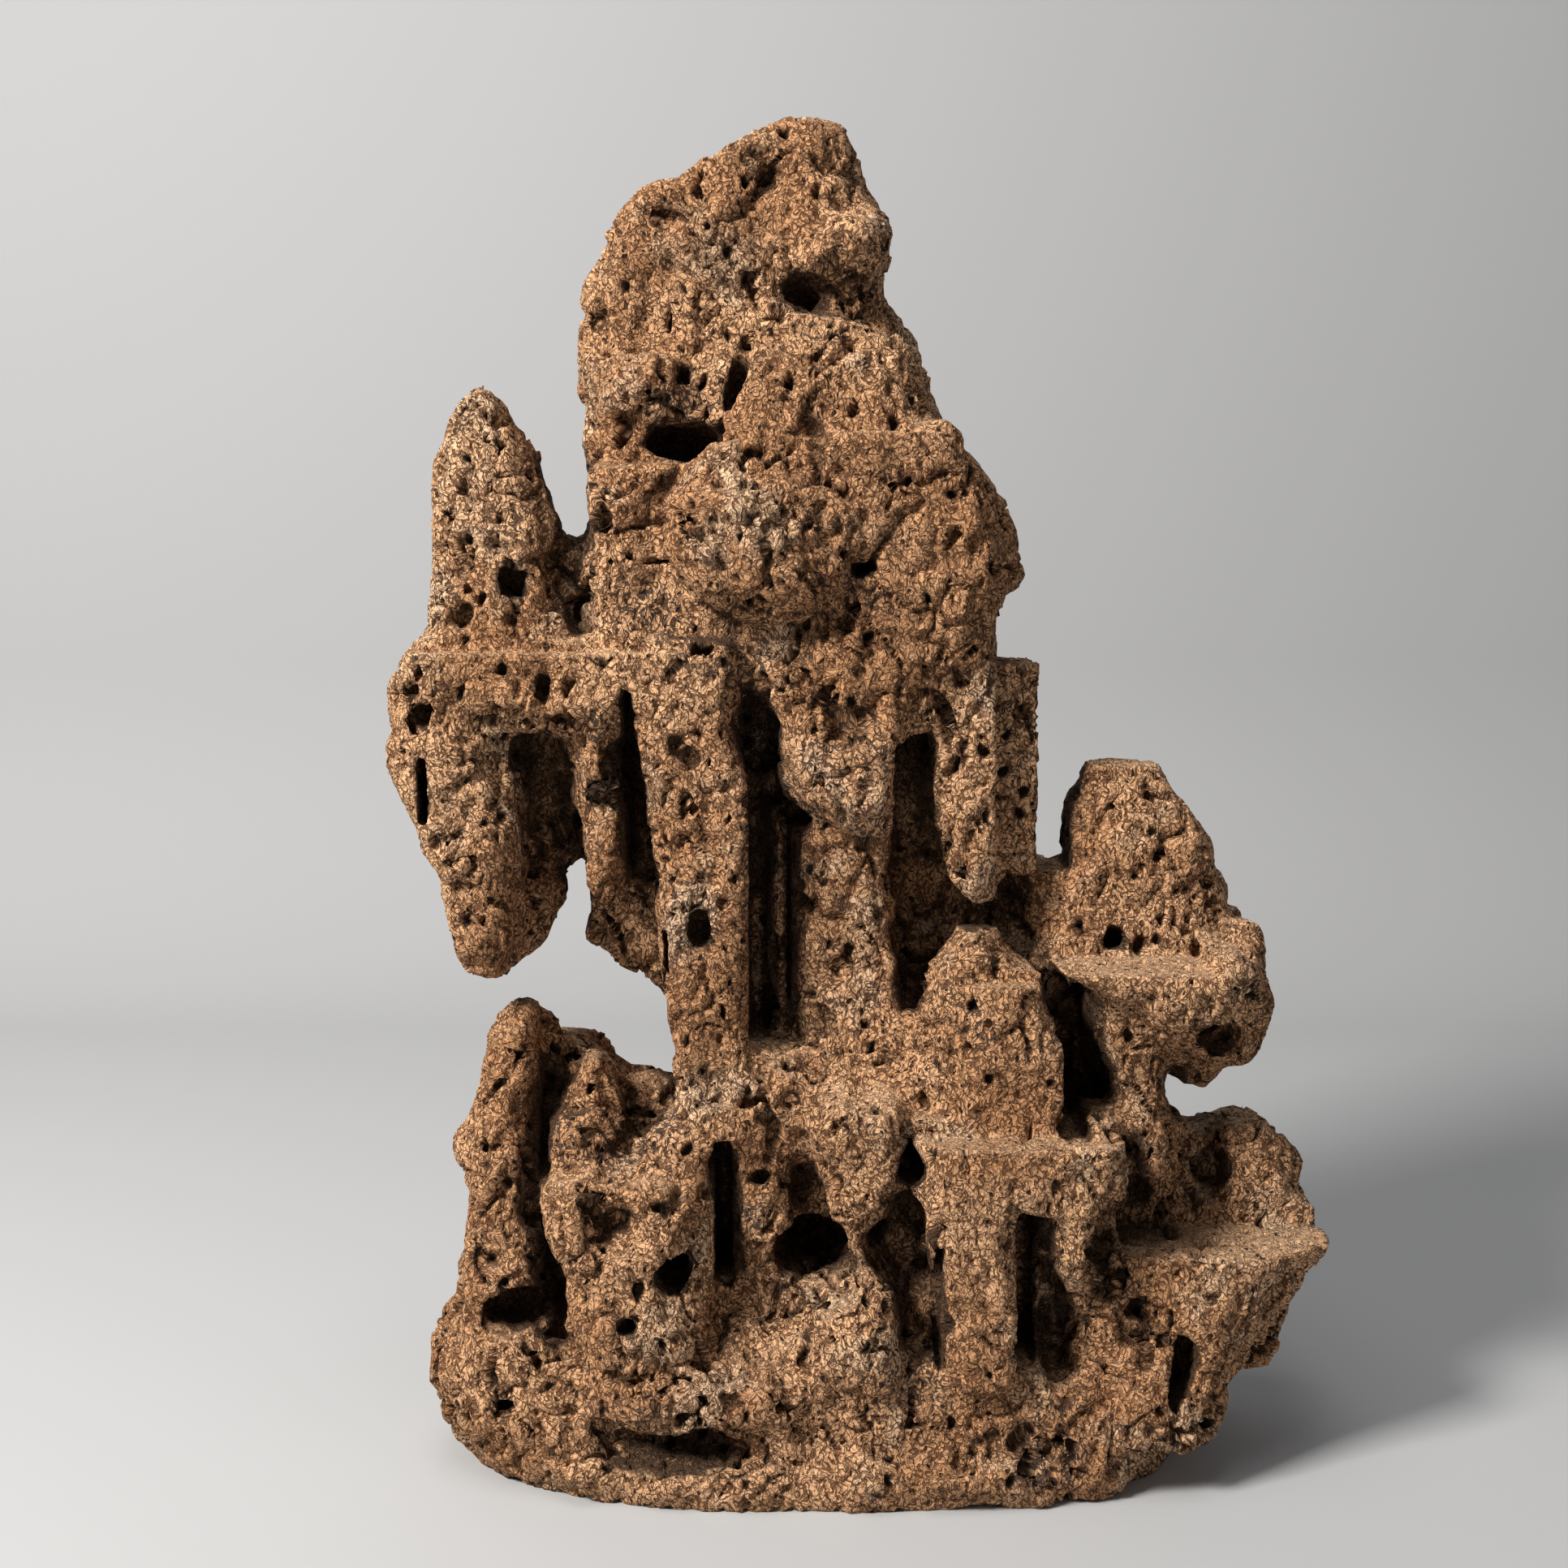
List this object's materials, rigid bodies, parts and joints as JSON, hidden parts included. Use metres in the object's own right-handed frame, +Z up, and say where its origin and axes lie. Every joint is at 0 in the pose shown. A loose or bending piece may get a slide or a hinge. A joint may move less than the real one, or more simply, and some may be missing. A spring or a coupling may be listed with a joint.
{
  "type": "water-absorbing landscape stone",
  "caption": "Tall porous tufa stone sawn and carved as a mountain landscape with peaks, ledges, pillars and a hanging rock, standing on a flat foot.",
  "frame": {"origin": "on the ground, under the middle of the stone's box", "axes": "+Z up, +X to the right seen from the front, the carved front towards -Y"},
  "size_m": [0.51, 0.2, 0.72],
  "materials": {
    "tufa": null
  },
  "bodies": {
    "root": {"stone": "tufa"}
  },
  "joints": []
}
